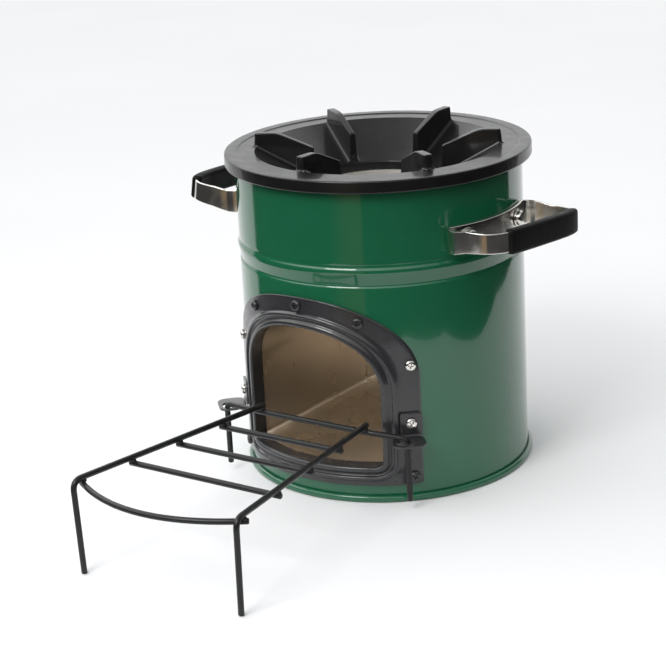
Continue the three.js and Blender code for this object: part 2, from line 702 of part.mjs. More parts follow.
// ---- assembly ----
basePan();
outerCasing();
fireboxLiner();
chimneyLiner();
insulation();
innerCover();
castTop();
doorFrame();
frameScrews();
for (const side of [-1, 1]) {
  rackBracket(side);
  rackSideWire(side);
}
rackHookRod();
rackBars();
for (const [word, handle] of Object.entries(HANDLES)) {
  handleStrap(handle, word);
  handleGrip(handle, word);
  handleBolts(handle, word);
}

export default stove;
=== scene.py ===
import math

import bmesh
import bpy
import numpy as np
from mathutils import Matrix, Vector


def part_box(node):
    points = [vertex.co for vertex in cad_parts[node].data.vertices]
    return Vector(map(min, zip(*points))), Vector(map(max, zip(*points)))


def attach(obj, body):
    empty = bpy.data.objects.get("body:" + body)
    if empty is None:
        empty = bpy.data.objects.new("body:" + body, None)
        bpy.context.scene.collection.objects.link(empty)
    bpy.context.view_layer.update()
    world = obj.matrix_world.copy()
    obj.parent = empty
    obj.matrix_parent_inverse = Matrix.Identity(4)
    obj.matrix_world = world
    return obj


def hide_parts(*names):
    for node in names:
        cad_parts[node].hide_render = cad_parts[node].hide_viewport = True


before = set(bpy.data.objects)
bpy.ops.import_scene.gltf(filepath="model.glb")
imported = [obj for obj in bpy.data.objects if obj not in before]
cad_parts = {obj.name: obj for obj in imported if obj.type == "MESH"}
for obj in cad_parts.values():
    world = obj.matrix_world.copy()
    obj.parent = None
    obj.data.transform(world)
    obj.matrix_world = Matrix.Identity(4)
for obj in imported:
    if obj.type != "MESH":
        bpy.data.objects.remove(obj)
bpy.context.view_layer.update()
MM = 0.001

# ---- driving dimensions, in millimetres, most of them read from the frame ----


def reach(node):
    """Half the width of a round node, in millimetres."""
    low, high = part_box(node)
    return (high[0] - low[0]) / 2 / MM


def bottom(node):
    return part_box(node)[0][2] / MM


def top(node):
    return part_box(node)[1][2] / MM


GAP = 0.3  # between neighbouring pieces

DRUM_R = 120.0
SHEET = 1.1
DRUM_BOTTOM = bottom("outer_casing")
DRUM_TOP = top("outer_casing")
# The swaged band, as (height, distance out from the wall).
SWAGE = [(182.8, 0), (184.6, -1.1), (195, 1.1), (197.6, 1.2), (200.4, -0.3), (203.4, 0)]

SEAM_R = reach("base_pan")
SEAM_TOP = top("base_pan")

CASTING_R = reach("cast_top")
CASTING_BOTTOM = 262.0
PLATE_Z = 271.4
RIM_Z = 272.2
RIM_INNER_R = 117.5
DISH_R = 102.5
HOLE_R = 53.0
HOLE_Z = 244.5
SUPPORTS = 6
SUPPORT_TURN = -2.0
SUPPORT_TOP = top("cast_top")
SUPPORT_OUTER_R = 103.0
SUPPORT_FLAT_R = 84.5
SUPPORT_INNER_R = 54.0
SUPPORT_INNER_TOP = 270.0

# Arches of the door and its frame: half width, bottom, where the arch springs, its rise, the power
# of its superellipse and the radius of the lower corners.
DOOR = {"half": 65, "bottom": 31.8, "spring": 95, "rise": 51.5, "power": 2.2, "corner": 5}
FRAME = {"half": 89.4, "bottom": 15, "spring": 105, "rise": 67.5, "power": 2.25, "corner": 2.5}
FRAME_BACK = 0.8
FRAME_FACE = 2.4
# The beads round the door, as (distance out from its edge, height above the drum).
FRAME_BEADS = [(0, -8.6), (0, 1.8), (1.4, 4.1), (4.2, 4.1), (6.2, 2), (7.8, 2), (9.2, 4.4),
               (11.4, 4.4), (13, FRAME_FACE)]
COLLAR_WALL = 1.6

FIREBOX_SHEET = 1.2
FIREBOX_MARGIN = 1
FIREBOX_BACK = 60
FIREBOX_FRONT_R = 110.6
CHIMNEY_R = 53.4
CHIMNEY_TOP = top("chimney_liner")

SCREW_HEAD = 4.5
SCREW_RISE = 2.6
SCREW_SHANK = 2
SCREW_LENGTH = 9
# Screws as (degrees from the door direction, height).
FRAME_SCREWS = {
    "frame_screw_top": (0, 165.7),
    "frame_screw_arch_left": (-25, 155),
    "frame_screw_arch_right": (25, 155),
    "frame_screw_upper_left": (-44, 118),
    "frame_screw_upper_right": (44, 118),
    "frame_screw_corner_left": (-44.3, 22),
    "frame_screw_corner_right": (44.3, 22),
}
BRACKET_ANGLE = 43.4
BRACKET_SCREW_Z = 69.3
BRACKET_SHEET = 1.8
BRACKET_FACE = 122.9  # the back of the bracket, from the axis
BRACKET_HALF = 9
BRACKET_TOP = 78
TAB_TOP = 58.7
TAB_REACH = 149
TAB_INNER_SIDE = -18
SLOT = {"across": -8.6, "out": 140.7, "half_length": 7, "radius": 5.2}

WIRE = 2.4  # radius
RACK_YAW = 2  # the rack stands this many degrees askew
RACK_PLACE = (1, -108.2)
PIN_X = 90.5
PIN_BOTTOM = 8
ARM_Z = 61.6
HOOK_ROD_Z = 66
HOOK_ROD_Y = -12
RAIL_OFFSET = 6
RAIL_FRONT = {"half": 77, "y": -219.2, "z": 77}
RAIL_REAR = {"half": 51, "y": -8, "z": 70.9}
LEG_BEND = 9
LEG_BOTTOM = 0.3
RACK_BARS = {"rack_bar_front": 62, "rack_bar_middle": 113, "rack_bar_rear": 162}
BAR_OVERHANG = 3
FRONT_BAR = {"setback": 12, "bulge": 26, "overhang": 4}
BAR_DROP = 2 * WIRE + GAP

# Each handle is turned to its place and bolted on at height z. Beyond the drum it shifts sideways
# by skew and rises by rise per millimetre out, and rises by lean per millimetre across. The grip's
# ends are measured along the strap from its tip.
HANDLES = {
    "right": {"turn": 84.6, "z": 217.5, "skew": 0.18, "rise": 0, "lean": -0.045, "grip": (-42, 51)},
    "left": {"turn": -92.2, "z": 220.7, "skew": 0.165, "rise": 0.185, "lean": 0.028, "grip": (-43, 51)},
}
STRAP = 2.3  # thickness
STRAP_HALF_HEIGHT = {"plate": 12.7, "fold": 9.6, "tip": 8.2}
STRAP_PLATE_R = 121.7
STRAP_PLATE_ANGLE = 23.4
# The arm as (distance from the axis, distance to the side), then the bow, part of a superellipse.
STRAP_ARM = [(113.2, 51.2), (117, 53.2), (122, 54.4), (127.5, 55.9)]
STRAP_BOW = {"from": 131, "half": 57.5, "tip": 161.4, "power": 4.6}
BEND_FROM = 122
BEND_OVER = 12
GRIP_THICK = 8.4
GRIP_HIGH = 20.4
BOLT_ANGLE = 15.3
BOLT_HEAD = 7.2
BOLT_RISE = 5.2
BOLT_SHANK = 3
BOLT_TIP = 111.5  # distance of the inner end from the axis
BOLT_SEAT = STRAP_PLATE_R + STRAP / 2 + 0.4

CAMERA_TURN = 35.3  # degrees from the door direction towards +X
CAMERA_FAR = 1605.0
CAMERA_HIGH = 646.6
CAMERA_YAW = -0.0282
CAMERA_PITCH = 0.3240
CAMERA_ROLL = -0.0532
LENS = 106.36

# The sheet of paper under the stove, its outline as (right, towards the camera).
PAPER = [(-334, 500), (130, 523), (358, 388), (451, 158), (587, -30), (600, -286), (1600, -5000),
         (-1430, -5000)]
KEY_LIGHT = {"turn": -35, "rise": 42, "away": 1600, "size": 600, "power": 10}
ROOM = 0.05  # brightness of the room in front of the stove
BACKDROP = 1.0
BACKDROP_EDGES = (-0.7, 0.6)  # slopes of its edges to the right and the left
CEILING = 1.6
ZENITH = 0.5
LEFT_BIAS = 0.88  # how much more the ceiling shines from the left
SEEN = 0.96  # brightness of the background itself
COOL_WHITE = (0.985, 0.99, 1.0)
WARM_CORNER = (5.5, 4.0, 2.3)


# ---- mesh helpers, all in millimetres ----
def clean(mesh):
    """Merges points that coincide and turns every face outwards."""
    bm = bmesh.new()
    bm.from_mesh(mesh)
    bmesh.ops.remove_doubles(bm, verts=bm.verts, dist=1e-6)
    bmesh.ops.recalc_face_normals(bm, faces=bm.faces)
    bm.to_mesh(mesh)
    bm.free()


def mesh_piece(name, points, faces, material, smooth=True):
    """A mesh object from points in millimetres."""
    mesh = bpy.data.meshes.new(name)
    mesh.from_pydata([Vector(p) * MM for p in points], [], faces)
    mesh.validate()
    clean(mesh)
    for face in mesh.polygons:
        face.use_smooth = smooth
    mesh.materials.append(material)
    piece = bpy.data.objects.new(name, mesh)
    bpy.context.scene.collection.objects.link(piece)
    return piece


def grid_faces(rows, columns, wrap_rows, wrap_columns, start=0):
    faces = []
    for j in range(rows if wrap_rows else rows - 1):
        for i in range(columns if wrap_columns else columns - 1):
            k, n = (i + 1) % columns, (j + 1) % rows
            faces.append((start + j * columns + i, start + j * columns + k,
                          start + n * columns + k, start + n * columns + i))
    return faces


def grid_piece(name, rows, material, wrap_rows=True, wrap_columns=True, caps=False):
    """A surface from rows of points. Caps close the first and the last row."""
    columns = len(rows[0])
    points = [p for row in rows for p in row]
    faces = grid_faces(len(rows), columns, wrap_rows, wrap_columns)
    if caps:
        last = (len(rows) - 1) * columns
        faces.append(tuple(range(columns)))
        faces.append(tuple(range(last, last + columns)))
    return mesh_piece(name, points, faces, material)


def rounded(points, radius, steps=4, closed=True):
    """A polyline whose corners are replaced by small arcs."""
    out = []
    count = len(points)
    for i, here in enumerate(points):
        if not closed and i in (0, count - 1):
            out.append(tuple(here))
            continue
        here = np.array(here, float)
        before = np.array(points[i - 1], float) - here
        after = np.array(points[(i + 1) % count], float) - here
        a, b = np.linalg.norm(before), np.linalg.norm(after)
        cut = min(radius, a * 0.45, b * 0.45)
        start, end = here + before / a * cut, here + after / b * cut
        for j in range(steps + 1):
            t = j / steps
            out.append(tuple((1 - t) ** 2 * start + 2 * t * (1 - t) * here + t * t * end))
    return out


def dense(points, step, closed=True):
    """Adds points so that no run of the polyline is longer than step."""
    out = []
    count = len(points)
    for i in range(count if closed else count - 1):
        a = np.array(points[i], float)
        b = np.array(points[(i + 1) % count], float)
        parts = max(1, math.ceil(np.linalg.norm(b - a) / step))
        out += [tuple(a + (b - a) * j / parts) for j in range(parts)]
    if not closed:
        out.append(tuple(points[-1]))
    return out


def even(points, count, closed=False):
    """The polyline resampled to evenly spaced points."""
    line = np.array(points + points[:1] if closed else points, float)
    lengths = np.r_[0, np.cumsum(np.linalg.norm(np.diff(line, axis=0), axis=1))]
    spots = np.linspace(0, lengths[-1], count + 1 if closed else count)
    if closed:
        spots = spots[:-1]
    return np.stack([np.interp(spots, lengths, line[:, k]) for k in range(line.shape[1])], 1)


def lathe(name, profile, material, segments=256):
    """A closed profile of (radius, height) turned about Z."""
    rows = []
    for r, z in profile:
        rows.append([(r * math.cos(2 * math.pi * i / segments),
                      r * math.sin(2 * math.pi * i / segments), z) for i in range(segments)])
    return grid_piece(name, rows, material)


def outward(degrees, height):
    """Stands +Z of a piece along a radius of the drum, at a height."""
    turn = Matrix.Rotation(math.radians(degrees), 4, "Z") @ Matrix.Rotation(math.radians(90), 4, "X")
    return Matrix.Translation((0, 0, height * MM)) @ turn


def place(piece, matrix):
    """Puts a matrix into the mesh, so the object stays at the origin."""
    piece.data.transform(matrix)
    return piece


def join(name, pieces):
    """One object from several."""
    first = pieces[0]
    bm = bmesh.new()
    for piece in pieces:
        bm.from_mesh(piece.data)
    bm.to_mesh(first.data)
    bm.free()
    for piece in pieces[1:]:
        bpy.data.objects.remove(piece)
    for face in first.data.polygons:
        face.use_smooth = True
    first.name = name
    return first


def apply_modifiers(piece):
    bpy.context.view_layer.update()
    graph = bpy.context.evaluated_depsgraph_get()
    mesh = bpy.data.meshes.new_from_object(piece.evaluated_get(graph))
    piece.modifiers.clear()
    piece.data = mesh
    for face in mesh.polygons:
        face.use_smooth = True
    return piece


def cut(piece, tool):
    """Takes the tool's shape out of a piece."""
    boolean = piece.modifiers.new("cut", "BOOLEAN")
    boolean.operation = "DIFFERENCE"
    boolean.solver = "EXACT"
    boolean.object = tool
    apply_modifiers(piece)
    bpy.data.objects.remove(tool)
    return piece


def sharpen(piece, degrees=35):
    """Smooth shading with the creases kept."""
    piece.data.set_sharp_from_angle(angle=math.radians(degrees))
    return piece


def sweep(name, path, section, material, caps=True):
    """Sweeps a section of (side, up) points along a path. A section may be a list, one per point."""
    path = np.array(path, float)
    along = np.gradient(path, axis=0)
    along /= np.linalg.norm(along, axis=1)[:, None]
    side = np.cross(along[0], (0, 0, 1))
    if np.linalg.norm(side) < 0.1:
        side = np.cross(along[0], (0, 1, 0))
    rows = []
    for i, (point, tangent) in enumerate(zip(path, along)):
        side = side - tangent * side.dot(tangent)
        side /= np.linalg.norm(side)
        up = np.cross(side, tangent)
        here = section[i] if isinstance(section, list) else section
        rows.append([tuple(point + side * a + up * b) for a, b in here])
    return grid_piece(name, rows, material, wrap_rows=False, caps=caps)


def circle(radius, count=20):
    turns = np.linspace(0, 2 * math.pi, count, endpoint=False)
    return np.stack([radius * np.cos(turns), radius * np.sin(turns)], 1)


def wire_piece(name, path, material, radius=WIRE):
    """A round wire with slightly broken ends."""
    path = np.array(path, float)
    step = np.linalg.norm(path[1] - path[0])
    chamfer = 0.6
    ends = []
    for a, b in ((path[0], path[1]), (path[-1], path[-2])):
        ends.append(a + (b - a) / np.linalg.norm(b - a) * min(chamfer, step * 0.4))
    path = np.vstack([path[:1], ends[:1], path[1:-1], ends[1:], path[-1:]])
    section = [circle(radius * (0.78 if i in (0, len(path) - 1) else 1)) for i in range(len(path))]
    return sweep(name, path, section, material)


# ---- materials ----
class Nodes:
    """A short way to write a node tree."""

    def __init__(self, tree):
        self.tree = tree

    def feed(self, socket, value):
        """Links an output to a socket, or sets the socket to a constant."""
        if isinstance(value, bpy.types.NodeSocket):
            self.tree.links.new(value, socket)
        else:
            socket.default_value = value

    def node(self, kind, inputs=None, **settings):
        made = self.tree.nodes.new("ShaderNode" + kind)
        for key, value in settings.items():
            setattr(made, key, value)
        for key, value in (inputs or {}).items():
            self.feed(made.inputs[key], value)
        return made

    def math(self, kind, a, b):
        return self.node("Math", {0: a, 1: b}, operation=kind).outputs["Value"]

    def spread(self, value, low, high, new_low, new_high, curve="LINEAR"):
        """Carries a value from one range to another."""
        inputs = {"Value": value, "From Min": low, "From Max": high, "To Min": new_low,
                  "To Max": new_high}
        return self.node("MapRange", inputs, interpolation_type=curve).outputs["Result"]

    def mix(self, factor, a, b):
        made = self.node("Mix", data_type="RGBA")
        sockets = [s for s in made.inputs if s.enabled]
        for socket, value in zip(sockets, (factor, a, b)):
            self.feed(socket, (*value, 1) if isinstance(value, tuple) else value)
        return [s for s in made.outputs if s.enabled][0]


class Finish(Nodes):
    """A material, its textures placed in the object's own space."""

    def __init__(self, name):
        self.material = bpy.data.materials.new(name)
        self.material.use_nodes = True
        super().__init__(self.material.node_tree)
        self.shader = self.tree.nodes["Principled BSDF"]
        self.where = self.node("TexCoord").outputs["Object"]

    def set(self, **values):
        for key, value in values.items():
            self.shader.inputs[key.replace("_", " ")].default_value = value

    def wire(self, output, key):
        self.tree.links.new(output, self.shader.inputs[key])

    def noise(self, scale, detail=3.0, rough=0.5, stretch=None, distortion=0.0):
        where = self.where
        if stretch:
            where = self.node("Mapping", {"Vector": where, "Scale": stretch}).outputs["Vector"]
        inputs = {"Vector": where, "Scale": scale, "Detail": detail, "Roughness": rough,
                  "Distortion": distortion}
        return self.node("TexNoise", inputs).outputs["Fac"]

    def ramp(self, value, stops):
        made = self.node("ValToRGB", {"Fac": value})
        for item, (position, colour) in zip(made.color_ramp.elements, stops):
            item.position = position
            item.color = (*colour, 1)
        return made.outputs["Color"]

    def bump(self, height, strength, distance, after=None):
        inputs = {"Height": height, "Strength": strength, "Distance": distance}
        if after:
            inputs["Normal"] = after
        return self.node("Bump", inputs).outputs["Normal"]

    def edges(self):
        """Brighter on outward edges, from the mesh's own curvature: a painted highlight."""
        return self.node("NewGeometry").outputs["Pointiness"]


def green_enamel():
    n = Finish("green_enamel")
    n.set(IOR=1.5, Coat_Weight=0.5, Coat_Roughness=0.02, Coat_IOR=1.5)
    tone = n.noise(6, 4, 0.6)
    fine = n.noise(90, 2)
    colour = n.ramp(tone, [(0.3, (0.0080, 0.101, 0.045)), (0.7, (0.0095, 0.118, 0.053))])
    speck = n.spread(fine, 0.72, 0.8, 0, 0.12)
    n.wire(n.mix(speck, colour, (0.016, 0.165, 0.085)), "Base Color")
    smear = n.noise(18, 5, 0.65, stretch=(1, 1, 0.35))
    n.wire(n.spread(smear, 0.35, 0.75, 0.06, 0.14), "Roughness")
    peel = n.noise(260, 2, 0.4)
    dent = n.noise(14, 1, 0.3)
    first = n.bump(peel, 0.05, 0.0002)
    n.wire(n.bump(dent, 0.1, 0.0012, first), "Normal")
    return n.material


def black_casting():
    n = Finish("black_casting")
    n.set(IOR=1.22, Coat_Weight=0.56, Coat_Roughness=0.09, Coat_IOR=1.5)
    blotch = n.noise(24, 5, 0.62)
    colour = n.ramp(blotch, [(0.3, (0.005, 0.005, 0.0053)), (0.75, (0.010, 0.010, 0.010))])
    # Painted highlight: the outward edges of the casting are mixed towards grey.
    edge = n.spread(n.edges(), 0.53, 0.62, 0, 0.5)
    n.wire(n.mix(edge, colour, (0.05, 0.05, 0.05)), "Base Color")
    n.wire(n.spread(n.noise(55, 4, 0.6), 0.3, 0.75, 0.26, 0.42), "Roughness")
    grain = n.noise(900, 3, 0.65)
    pits = n.spread(n.noise(420, 2, 0.5), 0.3, 0.5, 0, 1)
    wave = n.noise(70, 2, 0.5)
    first = n.bump(wave, 0.25, 0.0008)
    second = n.bump(pits, 0.25, 0.0003, first)
    n.wire(n.bump(grain, 0.5, 0.0003, second), "Normal")
    return n.material


def black_enamel():
    n = Finish("black_enamel")
    n.set(IOR=1.5, Coat_Weight=0.5, Coat_Roughness=0.08, Coat_IOR=1.5)
    tone = n.noise(30, 3, 0.5)
    colour = n.ramp(tone, [(0.3, (0.016, 0.016, 0.018)), (0.7, (0.026, 0.026, 0.028))])
    # Painted highlight: the outward edges of the frame are mixed towards grey.
    edge = n.spread(n.edges(), 0.54, 0.66, 0, 0.45)
    n.wire(n.mix(edge, colour, (0.12, 0.12, 0.125)), "Base Color")
    n.wire(n.spread(n.noise(40, 4, 0.6), 0.3, 0.7, 0.24, 0.4), "Roughness")
    peel = n.noise(380, 2, 0.5)
    first = n.bump(n.noise(30, 2), 0.12, 0.0008)
    n.wire(n.bump(peel, 0.12, 0.0002, first), "Normal")
    return n.material


def black_wire():
    n = Finish("black_wire")
    n.set(IOR=1.38, Coat_Weight=0.15, Coat_Roughness=0.15)
    tone = n.noise(60, 3, 0.6)
    n.wire(n.ramp(tone, [(0.3, (0.006, 0.006, 0.0065)), (0.75, (0.011, 0.011, 0.0115))]), "Base Color")
    n.wire(n.spread(n.noise(120, 3, 0.6), 0.3, 0.7, 0.28, 0.48), "Roughness")
    n.wire(n.bump(n.noise(520, 2, 0.6), 0.22, 0.0003), "Normal")
    return n.material


def plated_steel(name, smooth, dull):
    n = Finish(name)
    n.set(Metallic=1.0)
    tone = n.noise(35, 4, 0.6)
    n.wire(n.ramp(tone, [(0.3, (0.66, 0.64, 0.60)), (0.7, (0.80, 0.78, 0.74))]), "Base Color")
    smear = n.noise(50, 5, 0.65, distortion=0.6)
    n.wire(n.spread(smear, 0.35, 0.75, smooth, dull), "Roughness")
    first = n.bump(n.noise(60, 2), 0.12, 0.0006)
    n.wire(n.bump(n.noise(900, 2), 0.05, 0.0001, first), "Normal")
    return n.material


def firebox_steel():
    n = Finish("firebox_steel")
    n.set(Metallic=1.0)
    tone = n.noise(9, 3, 0.5)
    # Steel grey with a warm tint; the warm tint is a painted reflection of wood, which is not in the
    # scene.
    n.wire(n.ramp(tone, [(0.3, (0.68, 0.60, 0.50)), (0.7, (0.76, 0.69, 0.60))]), "Base Color")
    smear = n.noise(25, 3, 0.5)
    n.wire(n.spread(smear, 0.3, 0.7, 0.24, 0.34), "Roughness")
    n.wire(n.bump(n.noise(700, 2), 0.03, 0.0001), "Normal")
    return n.material


def chimney_steel():
    n = Finish("chimney_steel")
    n.set(Metallic=0.85)
    bloom = n.noise(40, 4, 0.6)
    n.wire(n.ramp(bloom, [(0.3, (0.74, 0.72, 0.68)), (0.7, (0.84, 0.82, 0.79))]), "Base Color")
    n.wire(n.spread(bloom, 0.3, 0.7, 0.42, 0.55), "Roughness")
    n.wire(n.bump(n.noise(500, 3, 0.6), 0.15, 0.0002), "Normal")
    return n.material


def black_grip():
    n = Finish("black_grip")
    n.set(IOR=1.24)
    tone = n.noise(45, 3, 0.6)
    n.wire(n.ramp(tone, [(0.3, (0.004, 0.004, 0.0042)), (0.75, (0.007, 0.007, 0.0072))]), "Base Color")
    n.wire(n.spread(n.noise(90, 4, 0.6), 0.3, 0.7, 0.42, 0.6), "Roughness")
    n.wire(n.bump(n.noise(1100, 2, 0.6), 0.3, 0.0002), "Normal")
    return n.material


def mineral_fibre():
    n = Finish("mineral_fibre")
    n.set(Roughness=0.95)
    fibres = n.noise(400, 6, 0.75, distortion=1.5)
    n.wire(n.ramp(fibres, [(0.3, (0.42, 0.36, 0.26)), (0.7, (0.68, 0.62, 0.50))]), "Base Color")
    n.wire(n.bump(fibres, 0.6, 0.0015), "Normal")
    return n.material


GREEN = green_enamel()
CASTING = black_casting()
BLACK = black_enamel()
WIRE_BLACK = black_wire()
PLATED = plated_steel("plated_steel", 0.05, 0.2)
STRAP_STEEL = plated_steel("strap_steel", 0.16, 0.3)
FIREBOX = firebox_steel()
CHIMNEY = chimney_steel()
GRIP = black_grip()
FIBRE = mineral_fibre()


# ---- door outlines, as (across, height) points from the bottom middle ----
def arch_outline(arch, grow=0.0, fine=1):
    half = arch["half"] + grow
    low = arch["bottom"] - grow
    corner = max(arch["corner"] + grow, 0.5)
    rise = arch["rise"] + grow
    right = []
    flats, turns, sides, steps = 16 * fine, 6 * fine, 10 * fine, 26 * fine
    for i in range(flats):
        right.append(((half - corner) * i / flats, low))
    for i in range(turns):
        turn = math.radians(90 * i / turns)
        right.append((half - corner + corner * math.sin(turn), low + corner - corner * math.cos(turn)))
    for i in range(sides):
        right.append((half, low + corner + (arch["spring"] - low - corner) * i / sides))
    for i in range(steps + 1):
        turn = math.radians(90 * i / steps)
        right.append((half * abs(math.cos(turn)) ** (2 / arch["power"]),
                      arch["spring"] + rise * math.sin(turn) ** (2 / arch["power"])))
    right[-1] = (0.0, right[-1][1])
    left = [(-x, z) for x, z in right[1:-1]][::-1]
    return right + left


def arch_top(arch, grow, across):
    """Height of the arch above a place across the door."""
    share = min(abs(across) / (arch["half"] + grow), 1)
    power = arch["power"]
    return arch["spring"] + (arch["rise"] + grow) * (1 - share ** power) ** (1 / power)


def inside_arch(arch, grow, x, z):
    half = arch["half"] + grow
    if abs(x) >= half or z <= arch["bottom"] - grow:
        return False
    return z < arch["spring"] or z < arch_top(arch, grow, x)


# ---- drum and base ----
def drum():
    outline = [(DRUM_BOTTOM, 0)] + SWAGE + [(DRUM_TOP, 0)]
    outline = rounded(outline, 3.2, 6, closed=False)
    outline = dense(outline, 3.5, closed=False)
    columns = 360
    rows = [[((DRUM_R + out) * math.sin(2 * math.pi * i / columns),
              -(DRUM_R + out) * math.cos(2 * math.pi * i / columns), z) for i in range(columns)]
            for z, out in outline]
    points = [p for row in rows for p in row]
    faces = []
    for face in grid_faces(len(rows), columns, False, True):
        x, y, z = np.mean([points[k] for k in face], axis=0)
        if not (y < 0 and inside_arch(DOOR, 8, x, z)):
            faces.append(face)
    piece = mesh_piece("drum", points, faces, GREEN)
    wall = piece.modifiers.new("wall", "SOLIDIFY")
    wall.thickness = SHEET * MM
    wall.offset = -1
    wall.use_even_offset = True
    apply_modifiers(piece)
    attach(piece, "stove")
    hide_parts("outer_casing")


def base():
    lip = DRUM_R + GAP
    inside = DRUM_R - SHEET - GAP
    outline = [(0.5, 0), (SEAM_R - 1.5, 0), (SEAM_R, 1.2), (SEAM_R, SEAM_TOP - 1.6),
               (SEAM_R - 1.6, SEAM_TOP), (lip, SEAM_TOP), (lip, 1.5), (inside, 1.5),
               (inside, 1.2), (0.5, 1.2)]
    profile = rounded(outline[1:5], 1.5, 6, closed=False)
    piece = lathe("base", [outline[0]] + profile + outline[5:], GREEN, 256)
    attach(piece, "stove")
    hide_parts("base_pan")


# ---- inside ----
FIREBOX_ARCH = {**DOOR, "corner": 4}


def firebox():
    sheet = []
    for grow in (FIREBOX_MARGIN, FIREBOX_MARGIN + FIREBOX_SHEET):
        outline = arch_outline(FIREBOX_ARCH, grow, 2)
        rows = []
        for step in np.linspace(0, 1, 40):
            row = []
            for x, z in outline:
                front = -math.sqrt(FIREBOX_FRONT_R ** 2 - x * x)
                row.append((x, front + (FIREBOX_BACK - front) * step, z))
            rows.append(row)
        sheet += rows if grow == FIREBOX_MARGIN else rows[::-1]
    piece = grid_piece("firebox", sheet, FIREBOX)
    rows = [[(CHIMNEY_R * math.cos(t), CHIMNEY_R * math.sin(t), z)
             for t in np.linspace(0, 2 * math.pi, 96, endpoint=False)] for z in (DOOR["spring"], 200)]
    cut(piece, grid_piece("flue_cutter", rows, FIREBOX, wrap_rows=False, caps=True))
    sharpen(piece)
    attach(piece, "stove")
    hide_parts("firebox_liner")


def chimney():
    columns = 192
    rows = []
    outer = CHIMNEY_R + FIREBOX_SHEET
    grow = FIREBOX_MARGIN + FIREBOX_SHEET + GAP
    levels = np.linspace(0, 1, 24)
    for radius, order in ((CHIMNEY_R, levels), (outer, levels[::-1])):
        for level in order:
            row = []
            for i in range(columns):
                turn = 2 * math.pi * i / columns
                x, y = radius * math.sin(turn), -radius * math.cos(turn)
                low = arch_top(FIREBOX_ARCH, grow, outer * math.sin(turn))
                row.append((x, y, low + (CHIMNEY_TOP - low) * level))
            rows.append(row)
    piece = sharpen(grid_piece("chimney", rows, CHIMNEY))
    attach(piece, "stove")
    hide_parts("chimney_liner")


# ---- cast top ----
def dish_height(r):
    if r >= DISH_R:
        return PLATE_Z
    return HOLE_Z + (PLATE_Z - HOLE_Z) * (r - HOLE_R) / (DISH_R - HOLE_R)


def rib_height(r):
    """Top of a pan support at a distance from the axis, with its crest corner softened."""
    slope = (SUPPORT_TOP - SUPPORT_INNER_TOP) / (SUPPORT_FLAT_R - SUPPORT_INNER_R)
    ramp = SUPPORT_TOP + slope * (r - SUPPORT_FLAT_R)
    soft = 0.8
    return -soft * math.log(math.exp(-(ramp - SUPPORT_TOP) / soft) + 1) + SUPPORT_TOP


def eased(distance, radius):
    """How far a rounded edge lies below its corner, at a distance from the edge."""
    return radius * (1 - math.sqrt(1 - (1 - distance / radius) ** 2))


def rib_rise(r):
    """How far the support stands above the casting, rounded at both ends, with a fillet outside."""
    fillet = 3.0
    edge = 0.9
    if r > SUPPORT_OUTER_R:
        beyond = r - SUPPORT_OUTER_R - 0.5
        if beyond <= 0:
            return 2 * fillet
        return eased(beyond, fillet) if beyond < fillet else 0.0
    if r < SUPPORT_INNER_R:
        return 0.0
    full = rib_height(r) - dish_height(r)
    for distance in (SUPPORT_OUTER_R - r, r - SUPPORT_INNER_R):
        if distance < edge:
            full -= eased(distance, edge)
    return full


def rib_section(r):
    """Half of the section across a support, as (distance from its middle, height above the dish)."""
    rise = rib_rise(r)
    along = (r - SUPPORT_INNER_R) / (SUPPORT_OUTER_R - SUPPORT_INNER_R)
    half = (4.6 + 3 * min(max(along, 0), 1)) / 2
    end = SUPPORT_OUTER_R - r
    blend = 2.2
    if end < blend:
        half -= 1.5 * (1 - math.sqrt(max(1 - (1 - max(end, 0) / blend) ** 2, 0)))
    edge = min(0.9, rise / 3)
    fillet = min(3.2, rise * 0.6 + 0.2)
    section = [(half * t, rise) for t in (0, 0.3, 0.6)]
    for i in range(5):
        turn = math.radians(90 * i / 4)
        section.append((half - edge + edge * math.sin(turn), rise - edge + edge * math.cos(turn)))
    wall = max(rise - edge - fillet, 0)
    foot = half + 0.06 * wall
    floor = fillet if rise > fillet else rise * 0.5
    for i in range(6):
        turn = math.radians(90 * i / 5)
        section.append((foot + fillet - fillet * math.cos(turn), floor * (1 - math.sin(turn))))
    return section


def casting_row(r, height, with_ribs):
    section = rib_section(r if with_ribs else SUPPORT_OUTER_R + 20)
    quarter = [(math.asin(min(side / r, 0.45)), rise) for side, rise in section]
    last = quarter[-1][0]
    sector = math.pi / SUPPORTS
    fill = 7
    for i in range(1, fill):
        quarter.append((last + (sector - last) * i / fill, 0.0))
    both = [(-a, h) for a, h in quarter[1:]][::-1] + quarter
    row = []
    for k in range(SUPPORTS):
        middle = math.radians(SUPPORT_TURN + 360 * k / SUPPORTS)
        row.append((r * math.sin(middle - sector), -r * math.cos(middle - sector), height))
        for angle, rise in both:
            turn = middle + angle
            row.append((r * math.sin(turn), -r * math.cos(turn), height + rise))
    return row


